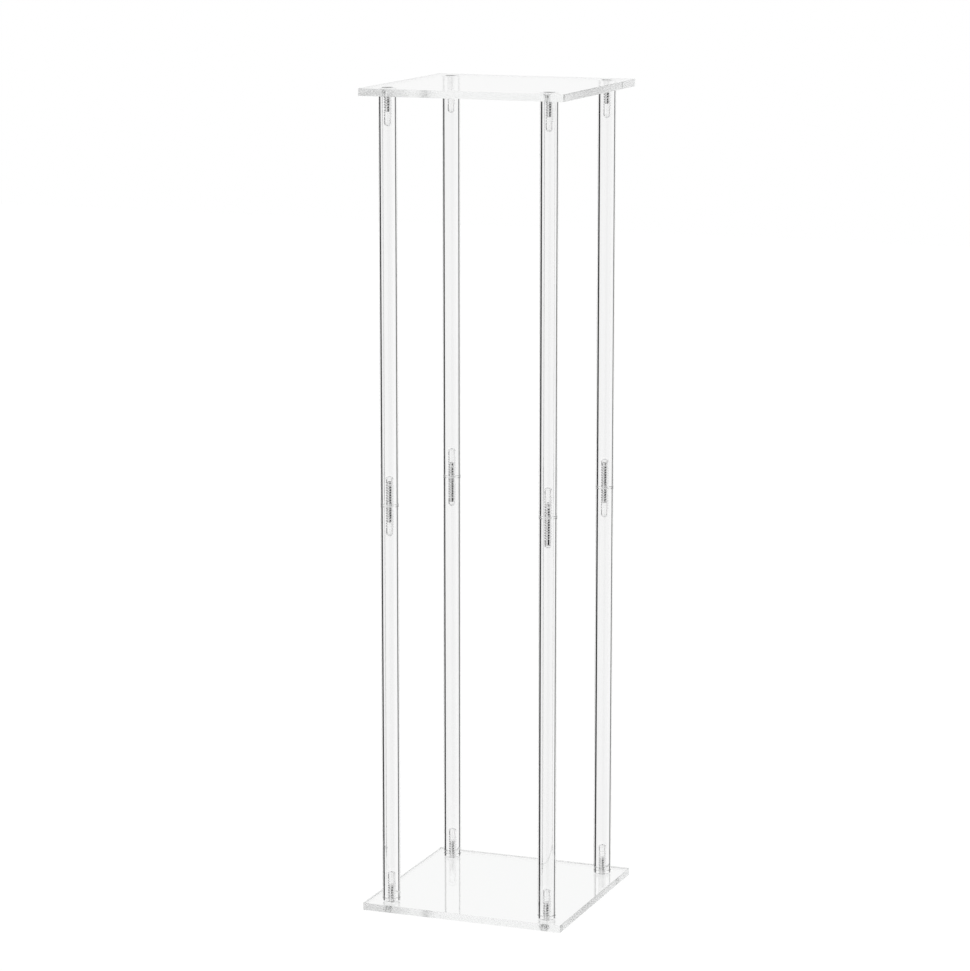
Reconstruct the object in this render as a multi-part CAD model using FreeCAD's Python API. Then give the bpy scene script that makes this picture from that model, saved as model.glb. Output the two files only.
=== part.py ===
"""Clear display column: two square plates held apart by four round rods, each rod in two halves.

The column stands on its base plate.  Each rod is a lower and an upper half, screwed together by a
headless stud in a blind tapped bore, and a countersunk screw holds each rod end to its plate.
Every piece is one solid in its own STEP file.  Millimetres, +Z up, the front towards -Y, and the
origin at the middle of the underside.
"""
import FreeCAD
import Part
import math
import os

# ---- driving dimensions ----------------------------------------------------------------------

# the two plates, which are alike
PLATE_SIDE = 230.0
PLATE_THICKNESS = 8.0
PLATE_CORNER_RADIUS = 1.0
PLATE_EDGE_BEVEL = 0.4

# the rods
ROD_DIAMETER = 20.0
ROD_HALF_LENGTH = 442.0
ROD_END_BEVEL = 0.5
ROD_INSET = 24.0                 # from a plate's edge to a rod's axis

# the metric thread that every fastener has
THREAD_DIAMETER = 6.0
THREAD_PITCH = 1.0
THREAD_DEPTH = 0.55
THREAD_END_BEVEL = 0.7

# the blind tapped bore in each end of a rod half, its point included
BORE_DEPTH = 33.0
BORE_MOUTH_BEVEL = 0.5
DRILL_POINT_ANGLE = 118.0

# the countersunk screws through the plates
SCREW_LENGTH = 25.0
SCREW_HEAD_DIAMETER = 12.0
SCREW_HEAD_RIM = 0.3             # height of the head's short straight edge
SCREW_HEAD_RECESS = 0.3          # how far the head sits below the plate's face
SCREW_PLAIN_SHANK = 1.5          # smooth length under the head
SOCKET_ACROSS_FLATS = 4.0
SOCKET_DEPTH = 2.2

# the headless joining studs
STUD_LENGTH = 45.0
STUD_SOCKET_ACROSS_FLATS = 3.0
STUD_SOCKET_DEPTH = 3.0

# fits
BORE_CLEARANCE = 0.08            # between a thread's crests and its bore, on the radius
PLATE_HOLE_CLEARANCE = 0.3       # between a screw and its hole in the plate, on the radius
COUNTERSINK_CLEARANCE = 0.1      # between a screw's cone and its seat, square to the cone

# each rod's side and end of the plates, and how much of its stud is in its upper half
RODS = {
    "front_left": (-1, -1, 26.5),
    "front_right": (1, -1, 15.0),
    "back_right": (1, 1, 28.5),
    "back_left": (-1, 1, 16.5),
}

# ---- places that follow from them ------------------------------------------------------------

ROD_OFFSET = PLATE_SIDE / 2 - ROD_INSET
ROD_RADIUS = ROD_DIAMETER / 2
THREAD_RADIUS = THREAD_DIAMETER / 2
BORE_RADIUS = THREAD_RADIUS + BORE_CLEARANCE
BASE_TOP = PLATE_THICKNESS
ROD_JOINT = BASE_TOP + ROD_HALF_LENGTH
ROD_TOP = ROD_JOINT + ROD_HALF_LENGTH
COLUMN_TOP = ROD_TOP + PLATE_THICKNESS

UP = FreeCAD.Vector(0, 0, 1)
ORIGIN = FreeCAD.Vector(0, 0, 0)


def turned(profile):
    """Solid of revolution about Z from a closed outline of (radius, height) points."""
    points = [FreeCAD.Vector(radius, 0, height) for radius, height in profile]
    face = Part.Face(Part.makePolygon(points + points[:1]))
    return Part.Solid(face.revolve(ORIGIN, UP, 360))


def placed(shape, x, y, z, turned_over=False):
    """A copy of the shape moved to a place, upside down if it is turned over."""
    copy = shape.copy()
    rotation = FreeCAD.Rotation(FreeCAD.Vector(1, 0, 0), 180 if turned_over else 0)
    copy.Placement = FreeCAD.Placement(FreeCAD.Vector(x, y, z), rotation)
    return copy


def corner(name):
    """The X and Y of a rod's axis."""
    side, end, _ = RODS[name]
    return side * ROD_OFFSET, end * ROD_OFFSET


def hex_socket(across_flats, depth):
    """The space of a key's socket, which opens upwards at z = 0 and has a conical floor."""
    circumradius = across_flats / math.sqrt(3)
    angles = [math.radians(60 * side) for side in range(6)]
    points = [FreeCAD.Vector(circumradius * math.cos(a), circumradius * math.sin(a), 0) for a in angles]
    prism = Part.Face(Part.makePolygon(points + points[:1])).extrude(UP * -depth)
    flat_radius = across_flats / 2
    point = Part.makeCone(flat_radius, 0, flat_radius / 2, FreeCAD.Vector(0, 0, -depth), -UP)
    return prism.fuse(point)


def thread_profile(low, high):
    """The zigzag of (radius, height) points of a thread, from its low end to its high end.

    The grooves are rings one pitch apart.  They fill the length between the two bevelled ends.
    """
    root = THREAD_RADIUS - THREAD_DEPTH
    first_crest = low + THREAD_END_BEVEL
    last_crest = high - THREAD_END_BEVEL
    turns = max(1, round((last_crest - first_crest) / THREAD_PITCH))
    pitch = (last_crest - first_crest) / turns
    profile = [(THREAD_RADIUS - THREAD_END_BEVEL, low)]
    for turn in range(turns):
        crest = first_crest + turn * pitch
        profile += [(THREAD_RADIUS, crest), (root, crest + pitch / 2)]
    profile += [(THREAD_RADIUS, last_crest), (THREAD_RADIUS - THREAD_END_BEVEL, high)]
    return profile


def joining_stud():
    """Headless threaded stud with a key's socket in its upper end; its low end is at z = 0."""
    stud = turned([(0, 0)] + thread_profile(0, STUD_LENGTH) + [(0, STUD_LENGTH)])
    socket = hex_socket(STUD_SOCKET_ACROSS_FLATS, STUD_SOCKET_DEPTH)
    return stud.cut(placed(socket, 0, 0, STUD_LENGTH))


def countersunk_screw():
    """Countersunk screw pointing down, with the top of its head at z = 0."""
    head_radius = SCREW_HEAD_DIAMETER / 2
    cone_foot = -SCREW_HEAD_RIM - (head_radius - THREAD_RADIUS)
    thread_top = cone_foot - SCREW_PLAIN_SHANK
    profile = [(0, -SCREW_LENGTH)] + thread_profile(-SCREW_LENGTH, thread_top)
    profile += [
        (THREAD_RADIUS, thread_top + THREAD_END_BEVEL),
        (THREAD_RADIUS, cone_foot),
        (head_radius, -SCREW_HEAD_RIM),
        (head_radius, 0),
        (0, 0),
    ]
    return turned(profile).cut(hex_socket(SOCKET_ACROSS_FLATS, SOCKET_DEPTH))


def plate_hole():
    """The space of a screw's hole in a plate, whose countersunk mouth opens upwards at z = 0."""
    hole_radius = THREAD_RADIUS + PLATE_HOLE_CLEARANCE
    seat_widening = COUNTERSINK_CLEARANCE * math.sqrt(2)
    mouth_radius = SCREW_HEAD_DIAMETER / 2 + SCREW_HEAD_RIM + SCREW_HEAD_RECESS + seat_widening
    overshoot = 1.0
    return turned([
        (0, overshoot),
        (mouth_radius + overshoot, overshoot),
        (hole_radius, hole_radius - mouth_radius),
        (hole_radius, -PLATE_THICKNESS - overshoot),
        (0, -PLATE_THICKNESS - overshoot),
    ])


def plate():
    """Square plate with four countersunk holes, its underside at z = 0 and its mouths on top."""
    half = PLATE_SIDE / 2
    block = Part.makeBox(PLATE_SIDE, PLATE_SIDE, PLATE_THICKNESS, FreeCAD.Vector(-half, -half, 0))
    uprights = [edge for edge in block.Edges if abs(edge.tangentAt(edge.FirstParameter).z) > 0.5]
    block = block.makeFillet(PLATE_CORNER_RADIUS, uprights)
    flat_faces = [face for face in block.Faces if abs(face.normalAt(0, 0).z) > 0.5]
    rims = [edge for face in flat_faces for edge in face.Edges]
    block = block.makeChamfer(PLATE_EDGE_BEVEL, rims)
    for name in RODS:
        block = block.cut(placed(plate_hole(), *corner(name), PLATE_THICKNESS))
    return block


def rod_half():
    """Rod half with a blind bore in each end, its lower end at z = 0."""
    body = turned([
        (0, 0),
        (ROD_RADIUS - ROD_END_BEVEL, 0),
        (ROD_RADIUS, ROD_END_BEVEL),
        (ROD_RADIUS, ROD_HALF_LENGTH - ROD_END_BEVEL),
        (ROD_RADIUS - ROD_END_BEVEL, ROD_HALF_LENGTH),
        (0, ROD_HALF_LENGTH),
    ])
    point_height = BORE_RADIUS / math.tan(math.radians(DRILL_POINT_ANGLE / 2))
    overshoot = 1.0
    bore = turned([
        (0, -overshoot),
        (BORE_RADIUS + BORE_MOUTH_BEVEL + overshoot, -overshoot),
        (BORE_RADIUS, BORE_MOUTH_BEVEL),
        (BORE_RADIUS, BORE_DEPTH - point_height),
        (0, BORE_DEPTH),
    ])
    upper_bore = placed(bore, 0, 0, ROD_HALF_LENGTH, turned_over=True)
    return body.cut(bore).cut(upper_bore)


def column():
    """Every node's name and its solid, in place."""
    nodes = {
        "base_plate": placed(plate(), 0, 0, PLATE_THICKNESS, turned_over=True),
        "top_plate": placed(plate(), 0, 0, ROD_TOP),
    }
    rod = rod_half()
    stud = joining_stud()
    screw = countersunk_screw()
    for name, (_, _, stud_in_upper_half) in RODS.items():
        x, y = corner(name)
        stud_low_end = ROD_JOINT + stud_in_upper_half - STUD_LENGTH
        nodes["lower_rod_" + name] = placed(rod, x, y, BASE_TOP)
        nodes["upper_rod_" + name] = placed(rod, x, y, ROD_JOINT)
        nodes["joining_stud_" + name] = placed(stud, x, y, stud_low_end)
        nodes["base_screw_" + name] = placed(screw, x, y, SCREW_HEAD_RECESS, turned_over=True)
        nodes["top_screw_" + name] = placed(screw, x, y, COLUMN_TOP - SCREW_HEAD_RECESS)
    return nodes


os.makedirs("parts", exist_ok=True)
for node, solid in column().items():
    if not solid.isValid() or len(solid.Solids) != 1:
        raise ValueError(node + " isn't one valid solid")
    solid.exportStep("parts/" + node + ".step")
    print(node, round(solid.Volume, 1))
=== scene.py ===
import math

import bmesh
import bpy
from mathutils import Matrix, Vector


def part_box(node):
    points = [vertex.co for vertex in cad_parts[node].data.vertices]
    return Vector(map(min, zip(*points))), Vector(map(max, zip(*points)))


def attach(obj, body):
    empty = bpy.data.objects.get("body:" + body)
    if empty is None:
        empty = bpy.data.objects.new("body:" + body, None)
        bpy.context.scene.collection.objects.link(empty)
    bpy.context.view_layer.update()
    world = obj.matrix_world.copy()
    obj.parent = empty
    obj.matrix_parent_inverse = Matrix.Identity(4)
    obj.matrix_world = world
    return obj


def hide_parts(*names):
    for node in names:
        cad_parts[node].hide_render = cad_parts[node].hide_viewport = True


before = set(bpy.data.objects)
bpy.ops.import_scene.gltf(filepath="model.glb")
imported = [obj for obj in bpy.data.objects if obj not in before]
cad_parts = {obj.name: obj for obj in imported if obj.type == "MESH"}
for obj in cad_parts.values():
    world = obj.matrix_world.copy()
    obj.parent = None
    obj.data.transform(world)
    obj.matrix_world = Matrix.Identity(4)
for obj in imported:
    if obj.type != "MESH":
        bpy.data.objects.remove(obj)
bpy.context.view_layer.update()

MM = 0.001
CORNERS = ("front_left", "front_right", "back_right", "back_left")
ROUND = 72                        # sides of everything round
CURVE_STEPS = 6                   # faces along a quarter circle
MERGE_DISTANCE = 0.0001 * MM
SHARP_ANGLE = math.radians(20)

# ---- sizes that the frame's boxes don't hold ---------------------------------------------------

THREAD_RADIUS = 3.0 * MM          # over a fastener's crests
THREAD_DEPTH = 0.37 * MM
THREAD_END_BEVEL = 0.7 * MM
TURN_HEIGHT = 2.8 * MM            # between the visible turns of a thread
TURN_PROFILE = (1.0, 1.0, 1.0, 0.0)   # a turn's rows, 1 at the crest: a flat crest, then a V
THREAD_ROOM = 0.5                 # rows left free beside a thread's end rings
BORE_RADIUS = 3.08 * MM           # over the roots of a bore's thread
BORE_THREAD_DEPTH = 0.34 * MM
BORE_DEPTH = 33.0 * MM
BORE_END_RADIUS = 2.9 * MM
BORE_UNTHREADED = 4.0 * MM        # length at a bore's closed end
BORE_MOUTH_BEVEL = 0.25 * MM
ROD_END_BEVEL = 0.5 * MM
AIR_FILM = 0.04 * MM              # between clear faces that touch
PLATE_CORNER_RADIUS = 1.0 * MM
PLATE_EDGE_ROUNDING = 0.15 * MM
PLATE_EDGE_STEPS = 3
PLATE_HOLE_RADIUS = 3.3 * MM
HEAD_RIM = 0.3 * MM               # height of a head's upright edge
HEAD_RECESS = 0.3 * MM            # from the plate's face to the head
HEAD_SEAT_GAP = 0.14 * MM         # round the head's cone
PLAIN_SHANK = 1.5 * MM            # length between the cone and the thread
SCREW_SOCKET = (4.0 * MM, 2.2 * MM)   # across flats, depth
STUD_SOCKET = (3.0 * MM, 3.0 * MM)


# ---- mesh building -------------------------------------------------------------------------------

def ring(bm, axis, radius, z, sides=ROUND):
    """A level circle of vertices about an upright axis."""
    x, y = axis
    angles = [2 * math.pi * side / sides for side in range(sides)]
    return [bm.verts.new((x + radius * math.cos(a), y + radius * math.sin(a), z)) for a in angles]


def skin(bm, rings, material=0):
    """Quads between each ring and the next, smooth round the rings."""
    for first, second in zip(rings, rings[1:]):
        for side, vertex in enumerate(first):
            following = (side + 1) % len(first)
            face = bm.faces.new((vertex, first[following], second[following], second[side]))
            face.smooth = True
            face.material_index = material


def close_to_point(bm, last, axis, z, material=0):
    """Triangles from a ring to a point on the axis."""
    tip = bm.verts.new((axis[0], axis[1], z))
    for side, vertex in enumerate(last):
        face = bm.faces.new((vertex, last[(side + 1) % len(last)], tip))
        face.smooth = True
        face.material_index = material


def loop_edges(bm, loop):
    """The edges round a closed loop of vertices, made where they are missing."""
    edges = []
    for side, vertex in enumerate(loop):
        following = loop[(side + 1) % len(loop)]
        edges.append(bm.edges.get((vertex, following)) or bm.edges.new((vertex, following)))
    return edges


def flat_face(bm, loops, material=0):
    """A flat face inside the first loop and outside the others, without smooth shading."""
    edges = [edge for loop in loops for edge in loop_edges(bm, loop)]
    made = bmesh.ops.triangle_fill(bm, use_beauty=True, use_dissolve=False, edges=edges)["geom"]
    for face in made:
        if isinstance(face, bmesh.types.BMFace):
            face.smooth = False
            face.material_index = material


def thread(bm, axis, low, high, crest, depth, plain):
    """A right-hand thread between two plain rings, and those two rings.

    Its rows climb with the helix, one turn a revolution, and every thread on the column keeps the
    same phase for its height, so that a fastener and its bore match. Its first and last turns run
    out to the plain radius, so that the two stay apart there as well.
    """
    rows_per_turn = len(TURN_PROFILE)
    row_height = TURN_HEIGHT / rows_per_turn
    first = math.ceil(low / row_height + THREAD_ROOM)
    last = math.floor(high / row_height - THREAD_ROOM) - rows_per_turn

    def vertex(row, side):
        climb = row + rows_per_turn * side / ROUND
        radius = crest - depth * (1 - TURN_PROFILE[row % rows_per_turn])
        full = min(1.0, (row - first) / rows_per_turn, (last - row) / rows_per_turn)
        radius = plain + (radius - plain) * full
        angle = 2 * math.pi * side / ROUND
        return bm.verts.new((
            axis[0] + radius * math.cos(angle),
            axis[1] + radius * math.sin(angle),
            climb * row_height,
        ))

    rows = {row: [vertex(row, side) for side in range(ROUND)] for row in range(first, last + 1)}
    end = ROUND - 1
    for row in range(first, last):
        lower, upper = rows[row], rows[row + 1]
        for side in range(end):
            bm.faces.new((lower[side], lower[side + 1], upper[side + 1], upper[side]))
        if row + rows_per_turn < last:
            above = row + rows_per_turn
            bm.faces.new((rows[row][end], rows[above][0], rows[above + 1][0], rows[row + 1][end]))

    low_ring = ring(bm, axis, plain, low)
    high_ring = ring(bm, axis, plain, high)
    for side in range(end):
        bm.faces.new((low_ring[side], low_ring[side + 1], rows[first][side + 1], rows[first][side]))
        bm.faces.new((rows[last][side], rows[last][side + 1], high_ring[side + 1], high_ring[side]))
    low_column = [rows[first + step][0] for step in range(rows_per_turn + 1)]
    bm.faces.new([low_ring[end], low_ring[0]] + low_column + [rows[first][end]])
    high_column = [rows[last - step][end] for step in range(rows_per_turn + 1)]
    bm.faces.new([high_ring[0], high_ring[end]] + high_column + [rows[last][0]])
    for face in bm.faces:
        face.smooth = True
    return low_ring, high_ring


def socket(bm, rim, axis, z, inwards, size, material=0):
    """A flat end face inside a ring, with a key's hexagonal socket sunk into it."""
    across_flats, depth = size
    corner_radius = across_flats / math.sqrt(3)
    drill_point = across_flats / 4
    mouth = ring(bm, axis, corner_radius, z, sides=6)
    bottom = ring(bm, axis, corner_radius, z + inwards * depth, sides=6)
    flat_face(bm, [rim, mouth], material)
    skin(bm, [mouth, bottom], material)
    close_to_point(bm, bottom, axis, z + inwards * (depth + drill_point), material)


def piece(bm, name, node, body, materials):
    """A finished object that stands for a CAD node and rides on its body."""
    bmesh.ops.remove_doubles(bm, verts=bm.verts, dist=MERGE_DISTANCE)
    bmesh.ops.recalc_face_normals(bm, faces=bm.faces)
    mesh = bpy.data.meshes.new(name)
    bm.to_mesh(mesh)
    bm.free()
    smooth = [face.use_smooth for face in mesh.polygons]
    mesh.set_sharp_from_angle(angle=SHARP_ANGLE)
    mesh.polygons.foreach_set("use_smooth", smooth)
    for material in materials:
        mesh.materials.append(material)
    made = bpy.data.objects.new(name, mesh)
    bpy.context.scene.collection.objects.link(made)
    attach(made, body)
    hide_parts(node)


def axis_of(node):
    """The X and Y of the middle of a CAD node."""
    low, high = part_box(node)
    return ((low.x + high.x) / 2, (low.y + high.y) / 2)


# ---- materials -----------------------------------------------------------------------------------

ACRYLIC_IOR = 1.49
TURNING_MARKS = (300.0, 300.0, 2500.0)    # grains in a metre, along X, Y and Z
TURNING_MARK_DEPTH = 0.05 * MM
TURNING_MARK_STRENGTH = 0.15


def node_material(name):
    """A node material, its tree and its Principled shader."""
    material = bpy.data.materials.new(name)
    material.use_nodes = True
    tree = material.node_tree
    return material, tree, tree.nodes["Principled BSDF"]


def spread(tree, value, low, high):
    """A node output that runs from 0 to 1, made to run between two numbers."""
    ranged = tree.nodes.new("ShaderNodeMapRange")
    ranged.inputs["To Min"].default_value = low
    ranged.inputs["To Max"].default_value = high
    tree.links.new(value, ranged.inputs["Value"])
    return ranged.outputs["Result"]


def clear_acrylic(name, tint, low_roughness, high_roughness, clouds):
    """Clear acrylic whose polish varies faintly, in this many clouds to a metre, as on handled stock."""
    material, tree, shader = node_material(name)
    shader.inputs["Base Color"].default_value = (*tint, 1.0)
    shader.inputs["Transmission Weight"].default_value = 1.0
    shader.inputs["IOR"].default_value = ACRYLIC_IOR
    place = tree.nodes.new("ShaderNodeTexCoord")
    cloud = tree.nodes.new("ShaderNodeTexNoise")
    cloud.inputs["Scale"].default_value = clouds
    cloud.inputs["Detail"].default_value = 3.0
    tree.links.new(place.outputs["Object"], cloud.inputs["Vector"])
    roughness = spread(tree, cloud.outputs["Fac"], low_roughness, high_roughness)
    tree.links.new(roughness, shader.inputs["Roughness"])
    return material


def plated_steel(name, dark, light, grazing, low_roughness, high_roughness):
    """Zinc-plated steel with faint turning marks, between two greys, and dimmer at a grazing angle."""
    material, tree, shader = node_material(name)
    shader.inputs["Metallic"].default_value = 1.0
    shader.inputs["Specular Tint"].default_value = (grazing, grazing, grazing, 1.0)
    place = tree.nodes.new("ShaderNodeTexCoord")
    stretch = tree.nodes.new("ShaderNodeMapping")
    stretch.inputs["Scale"].default_value = TURNING_MARKS
    grain = tree.nodes.new("ShaderNodeTexNoise")
    grain.inputs["Scale"].default_value = 1.0
    grain.inputs["Detail"].default_value = 4.0
    colour = tree.nodes.new("ShaderNodeValToRGB")
    colour.color_ramp.elements[0].position = 0.3
    colour.color_ramp.elements[0].color = (dark, dark, dark, 1.0)
    colour.color_ramp.elements[1].position = 0.7
    colour.color_ramp.elements[1].color = (light, light, light, 1.0)
    roughness = spread(tree, grain.outputs["Fac"], low_roughness, high_roughness)
    bump = tree.nodes.new("ShaderNodeBump")
    bump.inputs["Strength"].default_value = TURNING_MARK_STRENGTH
    bump.inputs["Distance"].default_value = TURNING_MARK_DEPTH
    tree.links.new(place.outputs["Object"], stretch.inputs["Vector"])
    tree.links.new(stretch.outputs["Vector"], grain.inputs["Vector"])
    tree.links.new(grain.outputs["Fac"], colour.inputs["Fac"])
    tree.links.new(colour.outputs["Color"], shader.inputs["Base Color"])
    tree.links.new(roughness, shader.inputs["Roughness"])
    tree.links.new(grain.outputs["Fac"], bump.inputs["Height"])
    tree.links.new(bump.outputs["Normal"], shader.inputs["Normal"])
    return material


ROD_ACRYLIC = clear_acrylic(
    "clear_acrylic_rod",
    tint=(0.995, 0.995, 0.995),
    low_roughness=0.03,
    high_roughness=0.036,
    clouds=60.0,
)
PLATE_ACRYLIC = clear_acrylic(
    "clear_acrylic_plate",
    tint=(0.99, 0.995, 0.992),
    low_roughness=0.0,
    high_roughness=0.015,
    clouds=40.0,
)
EDGE_ACRYLIC = clear_acrylic(
    "clear_acrylic_cut_edge",
    tint=(0.985, 0.99, 0.988),
    low_roughness=0.2,
    high_roughness=0.3,
    clouds=180.0,
)
STEEL = plated_steel(
    "zinc_plated_steel",
    dark=0.75,
    light=0.9,
    grazing=0.45,
    low_roughness=0.05,
    high_roughness=0.12,
)
HEAD_STEEL = plated_steel(
    "zinc_plated_steel_head",
    dark=0.4,
    light=0.5,
    grazing=0.15,
    low_roughness=0.2,
    high_roughness=0.35,
)


# ---- the pieces ----------------------------------------------------------------------------------

def rod_bore(bm, axis, mouth, inwards):
    """A tapped blind bore from its mouth to its domed end, and the ring of its mouth."""
    bore_end = mouth + inwards * BORE_DEPTH
    threaded = sorted((mouth + inwards * BORE_MOUTH_BEVEL, bore_end - inwards * BORE_UNTHREADED))
    low_ring, high_ring = thread(
        bm, axis, *threaded, crest=BORE_RADIUS, depth=BORE_THREAD_DEPTH, plain=BORE_RADIUS
    )
    outer, inner = (low_ring, high_ring) if inwards > 0 else (high_ring, low_ring)
    mouth_ring = ring(bm, axis, BORE_RADIUS + BORE_MOUTH_BEVEL, mouth)
    skin(bm, [mouth_ring, outer])
    dome = []
    for step in range(CURVE_STEPS):
        angle = math.pi / 2 * step / CURVE_STEPS
        to_the_end = BORE_END_RADIUS * (1 - math.sin(angle))
        dome.append(ring(bm, axis, BORE_END_RADIUS * math.cos(angle), bore_end - inwards * to_the_end))
    skin(bm, [inner] + dome, material=1)
    close_to_point(bm, dome[-1], axis, bore_end, material=1)
    return mouth_ring


def rod(half, corner, body):
    """A rod half: a clear turned bar with a bore in each end."""
    node = half + "_rod_" + corner
    low_corner, high_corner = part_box(node)
    axis = axis_of(node)
    radius = (high_corner.x - low_corner.x) / 2
    low = low_corner.z + AIR_FILM
    high = high_corner.z - AIR_FILM
    bm = bmesh.new()
    low_mouth = rod_bore(bm, axis, low, 1)
    high_mouth = rod_bore(bm, axis, high, -1)
    bevelled = radius - ROD_END_BEVEL
    low_edge = ring(bm, axis, bevelled, low)
    high_edge = ring(bm, axis, bevelled, high)
    low_side = ring(bm, axis, radius, low + ROD_END_BEVEL)
    high_side = ring(bm, axis, radius, high - ROD_END_BEVEL)
    skin(bm, [low_side, high_side])
    flat_face(bm, [low_edge, low_mouth])
    flat_face(bm, [high_edge, high_mouth])
    skin(bm, [low_edge, low_side], material=1)
    skin(bm, [high_side, high_edge], material=1)
    piece(bm, "clear_" + node, node, body, [ROD_ACRYLIC, EDGE_ACRYLIC])


def fastener_thread(bm, axis, low, high):
    """A fastener's thread between two rings round its core, and those two rings."""
    core = THREAD_RADIUS - THREAD_DEPTH
    return thread(bm, axis, low, high, crest=THREAD_RADIUS, depth=THREAD_DEPTH, plain=core)


def stud(corner):
    """A headless joining stud, with a key's socket in its upper end."""
    node = "joining_stud_" + corner
    low_corner, high_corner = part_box(node)
    axis = axis_of(node)
    low, high = low_corner.z, high_corner.z
    bm = bmesh.new()
    low_ring, high_ring = fastener_thread(bm, axis, low + THREAD_END_BEVEL, high - THREAD_END_BEVEL)
    end_radius = THREAD_RADIUS - THREAD_END_BEVEL
    low_end = ring(bm, axis, end_radius, low)
    high_end = ring(bm, axis, end_radius, high)
    skin(bm, [low_end, low_ring])
    skin(bm, [high_ring, high_end])
    close_to_point(bm, low_end, axis, low)
    socket(bm, high_end, axis, high, -1, STUD_SOCKET)
    piece(bm, "threaded_" + node, node, "root", [STEEL])


def screw(node, body, upwards):
    """A countersunk screw; upwards is 1 if it points up and -1 if it points down."""
    low_corner, high_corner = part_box(node)
    axis = axis_of(node)
    head_radius = (high_corner.x - low_corner.x) / 2
    head, tip = (low_corner.z, high_corner.z) if upwards > 0 else (high_corner.z, low_corner.z)
    rim = head + upwards * HEAD_RIM
    cone_foot = rim + upwards * (head_radius - THREAD_RADIUS)
    shank_end = cone_foot + upwards * PLAIN_SHANK
    bm = bmesh.new()
    threaded = sorted((shank_end + upwards * THREAD_DEPTH, tip - upwards * THREAD_END_BEVEL))
    low_ring, high_ring = fastener_thread(bm, axis, *threaded)
    near_head, near_tip = (low_ring, high_ring) if upwards > 0 else (high_ring, low_ring)
    end_ring = ring(bm, axis, THREAD_RADIUS - THREAD_END_BEVEL, tip)
    skin(bm, [near_tip, end_ring])
    close_to_point(bm, end_ring, axis, tip)
    head_face = ring(bm, axis, head_radius, head)
    skin(bm, [
        near_head,
        ring(bm, axis, THREAD_RADIUS, shank_end),
        ring(bm, axis, THREAD_RADIUS, cone_foot),
        ring(bm, axis, head_radius, rim),
        head_face,
    ])
    socket(bm, head_face, axis, head, upwards, SCREW_SOCKET, material=1)
    piece(bm, "countersunk_" + node, node, body, [STEEL, HEAD_STEEL])


def outline(bm, low, high, inset, z):
    """A level square loop with round corners, this far inside a plate's outline."""
    radius = PLATE_CORNER_RADIUS - inset
    loop = []
    for quarter, (side_x, side_y) in enumerate(((1, 1), (-1, 1), (-1, -1), (1, -1))):
        centre_x = (high.x if side_x > 0 else low.x) - side_x * PLATE_CORNER_RADIUS
        centre_y = (high.y if side_y > 0 else low.y) - side_y * PLATE_CORNER_RADIUS
        for step in range(CURVE_STEPS + 1):
            angle = math.pi / 2 * (quarter + step / CURVE_STEPS)
            loop.append(bm.verts.new((
                centre_x + radius * math.cos(angle),
                centre_y + radius * math.sin(angle),
                z,
            )))
    return loop


def plate(node, body, mouth_side):
    """A clear plate with four countersunk holes; mouth_side is 1 if their mouths are on top."""
    low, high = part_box(node)
    quarter = [math.pi / 2 * step / PLATE_EDGE_STEPS for step in range(PLATE_EDGE_STEPS + 1)]
    rounding = [
        (PLATE_EDGE_ROUNDING * (1 - math.sin(angle)), PLATE_EDGE_ROUNDING * (1 - math.cos(angle)))
        for angle in quarter
    ]
    bm = bmesh.new()
    sides = [outline(bm, low, high, inset, low.z + rise) for inset, rise in rounding]
    sides += [outline(bm, low, high, inset, high.z - drop) for inset, drop in reversed(rounding)]
    skin(bm, sides, material=1)

    mouth, back = (high.z, low.z) if mouth_side > 0 else (low.z, high.z)
    screw_low, screw_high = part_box("top_screw_front_left")
    head_radius = (screw_high.x - screw_low.x) / 2
    # The 90 degree seat goes on past the head's edge to the plate's face.
    mouth_radius = head_radius + HEAD_RIM + HEAD_RECESS + HEAD_SEAT_GAP
    foot = mouth - mouth_side * (mouth_radius - PLATE_HOLE_RADIUS)
    mouths = []
    backs = []
    for corner in CORNERS:
        axis = axis_of("lower_rod_" + corner)
        mouths.append(ring(bm, axis, mouth_radius, mouth))
        backs.append(ring(bm, axis, PLATE_HOLE_RADIUS, back))
        skin(bm, [mouths[-1], ring(bm, axis, PLATE_HOLE_RADIUS, foot), backs[-1]])
    low_holes, high_holes = (backs, mouths) if mouth_side > 0 else (mouths, backs)
    flat_face(bm, [sides[0]] + low_holes)
    flat_face(bm, [sides[-1]] + high_holes)
    piece(bm, "clear_" + node, node, body, [PLATE_ACRYLIC, EDGE_ACRYLIC])


plate("base_plate", "root", -1)
plate("top_plate", "top_plate", 1)
for corner in CORNERS:
    rod("lower", corner, "root")
    rod("upper", corner, "upper_rods")
    stud(corner)
    screw("base_screw_" + corner, "root", 1)
    screw("top_screw_" + corner, "top_screw_" + corner, -1)


# ---- the camera ----------------------------------------------------------------------------------

CAMERA_AZIMUTH = math.radians(21.12)
CAMERA_ELEVATION = math.radians(10.76)
FIELD_OF_VIEW = math.radians(15.44)
CAMERA_DISTANCE = 4.428           # this and the two below are in rod lengths
AIM_TO_THE_RIGHT = -0.0167        # of the column's axis
AIM_HEIGHT = 0.5136               # over the rods' feet

rod_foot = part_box("base_plate")[1].z
rod_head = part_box("top_plate")[0].z
rod_length = rod_head - rod_foot
away = Vector((
    math.sin(CAMERA_AZIMUTH) * math.cos(CAMERA_ELEVATION),
    -math.cos(CAMERA_AZIMUTH) * math.cos(CAMERA_ELEVATION),
    math.sin(CAMERA_ELEVATION),
))
rightwards = Vector((math.cos(CAMERA_AZIMUTH), math.sin(CAMERA_AZIMUTH), 0))
target = rightwards * (AIM_TO_THE_RIGHT * rod_length) + Vector((0, 0, rod_foot + AIM_HEIGHT * rod_length))

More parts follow.
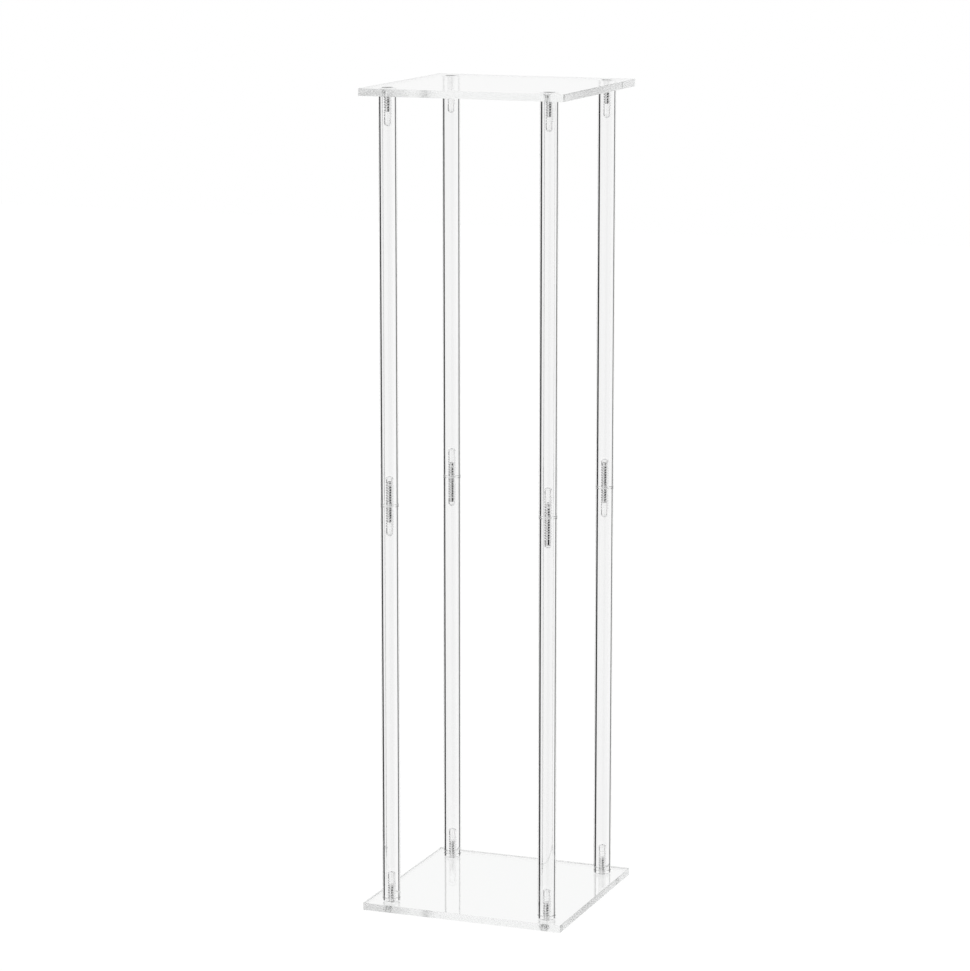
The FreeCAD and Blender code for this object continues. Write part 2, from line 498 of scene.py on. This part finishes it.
camera_data = bpy.data.cameras.new("camera")
camera_data.angle = FIELD_OF_VIEW
camera = bpy.data.objects.new("camera", camera_data)
camera.location = target + away * (CAMERA_DISTANCE * rod_length)
camera.rotation_mode = "QUATERNION"
camera.rotation_quaternion = (-away).to_track_quat("-Z", "Y")
bpy.context.scene.collection.objects.link(camera)
bpy.context.scene.camera = camera


# ---- the studio ----------------------------------------------------------------------------------

# Each flag has a bearing, a half width and the width of its soft edge, all in degrees, and how dark
# it is. Bearings are counted from the camera's side to the right round the column.
FLAGS = (
    (135.5, 8, 1.5, 0.97),
    (226, 5.5, 2.5, 0.94),
    (1.4, 6, 2, 0.6),
    (46.4, 6, 2, 0.8),
    (271.4, 6, 2, 0.6),
)
FLAGS_IN_REFLECTIONS = (
    (24, 31, 4, 0.97),
    (283, 18, 5, 0.5),
    (250, 12, 4, 0.85),
)
FLAG_END = math.radians(50)       # above and below the horizon, where they begin to fade
BEYOND_FLAGS = math.radians(56)
FADE_ALONG_A_PLATE = 0.8          # of the flags' darkness, in light that runs along a plate
STUDIO_WHITE = 0.95

FLOOR_HALF_SIDE = 6.0
FLOOR_LEVEL = -0.3 * MM
FLOOR_GREY = 0.12                 # what it reflects
FLOOR_GLOW = 0.93                 # what the camera sees besides

LIGHT_BOUNCES = 48


def multiplied(tree, first, second):
    """The product of two node outputs, or of an output and a number."""
    product = tree.nodes.new("ShaderNodeMath")
    product.operation = "MULTIPLY"
    tree.links.new(first, product.inputs[0])
    if isinstance(second, float):
        product.inputs[1].default_value = second
    else:
        tree.links.new(second, product.inputs[1])
    return product.outputs["Value"]


def compared(tree, value, operation, bound):
    """1 where a node output is greater or less than a bound, else 0."""
    test = tree.nodes.new("ShaderNodeMath")
    test.operation = operation
    tree.links.new(value, test.inputs[0])
    test.inputs[1].default_value = bound
    return test.outputs["Value"]


def between(tree, value, low, high):
    """1 where a node output lies between two bounds, else 0."""
    above_low = compared(tree, value, "GREATER_THAN", low)
    return multiplied(tree, above_low, compared(tree, value, "LESS_THAN", high))


def unless(tree, fraction, value):
    """A value where the fraction is 0, fading to 1 where the fraction is 1."""
    fade = tree.nodes.new("ShaderNodeMix")
    tree.links.new(fraction, fade.inputs["Factor"])
    tree.links.new(value, fade.inputs["A"])
    fade.inputs["B"].default_value = 1.0
    return fade.outputs["Result"]


def flags_light(tree, bearing, flags):
    """How light the studio is at a bearing, past these flags."""
    light = None
    for right, half, soft, dark in flags:
        angle = CAMERA_AZIMUTH + math.radians(right)
        towards = tree.nodes.new("ShaderNodeVectorMath")
        towards.operation = "DOT_PRODUCT"
        towards.inputs[1].default_value = (math.sin(angle), -math.cos(angle), 0)
        tree.links.new(bearing, towards.inputs[0])
        shade = tree.nodes.new("ShaderNodeMapRange")
        shade.interpolation_type = "SMOOTHSTEP"
        shade.inputs["From Min"].default_value = math.cos(math.radians(half + soft))
        shade.inputs["From Max"].default_value = math.cos(math.radians(half))
        shade.inputs["To Min"].default_value = 1.0
        shade.inputs["To Max"].default_value = 1.0 - dark
        tree.links.new(towards.outputs["Value"], shade.inputs["Value"])
        passed = shade.outputs["Result"]
        light = passed if light is None else multiplied(tree, light, passed)
    return light


def surroundings():
    """A white studio with dark flags at some bearings, which draw the edges of clear and bright parts.

    Flags stand across the horizon, and the rest of the studio is white. The narrow ones are faint in
    light that runs the length of a plate, and they don't show in a single reflection that ends below
    the horizon, which would draw a dark line along the plates' far edges. The broad ones show only in
    reflections that end below the horizon, and not in light that runs the length of a plate, so that
    they darken no plate that is seen straight through. A plate that is seen straight through against
    a narrow flag, as from 45 degrees to the left of the camera, looks black.
    """
    world = bpy.data.worlds.new("studio")
    world.use_nodes = True
    tree = world.node_tree
    place = tree.nodes.new("ShaderNodeTexCoord")
    level = tree.nodes.new("ShaderNodeVectorMath")
    level.operation = "MULTIPLY"
    level.inputs[1].default_value = (1, 1, 0)
    tree.links.new(place.outputs["Generated"], level.inputs[0])
    bearing = tree.nodes.new("ShaderNodeVectorMath")
    bearing.operation = "NORMALIZE"
    tree.links.new(level.outputs["Vector"], bearing.inputs[0])
    height = tree.nodes.new("ShaderNodeSeparateXYZ")
    tree.links.new(place.outputs["Generated"], height.inputs["Vector"])
    above_horizon = compared(tree, height.outputs["Z"], "GREATER_THAN", 0.0)
    below_horizon = compared(tree, height.outputs["Z"], "LESS_THAN", 0.0)

    # Depths are whole numbers, so each bound lies halfway between two.
    path = tree.nodes.new("ShaderNodeLightPath")
    reflections = path.outputs["Glossy Depth"]
    no_reflection = compared(tree, reflections, "LESS_THAN", 0.5)
    one_reflection = between(tree, reflections, 0.5, 1.5)
    more_reflections = compared(tree, reflections, "GREATER_THAN", 1.5)
    in_and_out = compared(tree, path.outputs["Transmission Depth"], "LESS_THAN", 2.5)
    along_a_plate = multiplied(tree, more_reflections, in_and_out)
    off_a_far_edge = multiplied(tree, one_reflection, below_horizon)

    narrow = flags_light(tree, bearing.outputs["Vector"], FLAGS)
    for never in (multiplied(tree, along_a_plate, FADE_ALONG_A_PLATE), off_a_far_edge):
        narrow = unless(tree, never, narrow)
    broad = flags_light(tree, bearing.outputs["Vector"], FLAGS_IN_REFLECTIONS)
    for never in (no_reflection, along_a_plate, above_horizon):
        broad = unless(tree, never, broad)
    light = multiplied(tree, narrow, broad)

    steepness = tree.nodes.new("ShaderNodeMath")
    steepness.operation = "ABSOLUTE"
    tree.links.new(height.outputs["Z"], steepness.inputs[0])
    beyond = tree.nodes.new("ShaderNodeMapRange")
    beyond.interpolation_type = "SMOOTHSTEP"
    beyond.inputs["From Min"].default_value = math.sin(FLAG_END)
    beyond.inputs["From Max"].default_value = math.sin(BEYOND_FLAGS)
    tree.links.new(steepness.outputs["Value"], beyond.inputs["Value"])
    dimmed = multiplied(tree, unless(tree, beyond.outputs["Result"], light), STUDIO_WHITE)
    background = tree.nodes["Background"]
    background.inputs["Color"].default_value = (1, 1, 1, 1)
    tree.links.new(unless(tree, path.outputs["Is Camera Ray"], dimmed), background.inputs["Strength"])
    bpy.context.scene.world = world


def floor():
    """A plain pale floor, white to the camera, that keeps a faint shadow."""
    bm = bmesh.new()
    bm.faces.new([
        bm.verts.new((x * FLOOR_HALF_SIDE, y * FLOOR_HALF_SIDE, FLOOR_LEVEL))
        for x, y in ((-1, -1), (1, -1), (1, 1), (-1, 1))
    ])
    mesh = bpy.data.meshes.new("floor")
    bm.to_mesh(mesh)
    bm.free()
    ground = bpy.data.objects.new("floor", mesh)
    bpy.context.scene.collection.objects.link(ground)
    ground.visible_transmission = False
    ground.visible_glossy = False
    material, tree, shader = node_material("pale_floor")
    mesh.materials.append(material)
    shader.inputs["Base Color"].default_value = (FLOOR_GREY, FLOOR_GREY, FLOOR_GREY, 1)
    shader.inputs["Roughness"].default_value = 1.0
    shader.inputs["Specular IOR Level"].default_value = 0.0
    path = tree.nodes.new("ShaderNodeLightPath")
    glow = tree.nodes.new("ShaderNodeEmission")
    tree.links.new(path.outputs["Is Camera Ray"], glow.inputs["Strength"])
    glow.inputs["Color"].default_value = (FLOOR_GLOW, FLOOR_GLOW, FLOOR_GLOW, 1)
    both = tree.nodes.new("ShaderNodeAddShader")
    tree.links.new(shader.outputs["BSDF"], both.inputs[0])
    tree.links.new(glow.outputs["Emission"], both.inputs[1])
    tree.links.new(both.outputs["Shader"], tree.nodes["Material Output"].inputs["Surface"])


def light_paths():
    """Enough bounces for light that runs the length of a clear plate between its faces."""
    cycles = bpy.context.scene.cycles
    cycles.max_bounces = LIGHT_BOUNCES
    cycles.glossy_bounces = LIGHT_BOUNCES
    cycles.transmission_bounces = LIGHT_BOUNCES


surroundings()
floor()
light_paths()
bpy.context.scene.view_settings.view_transform = "Standard"
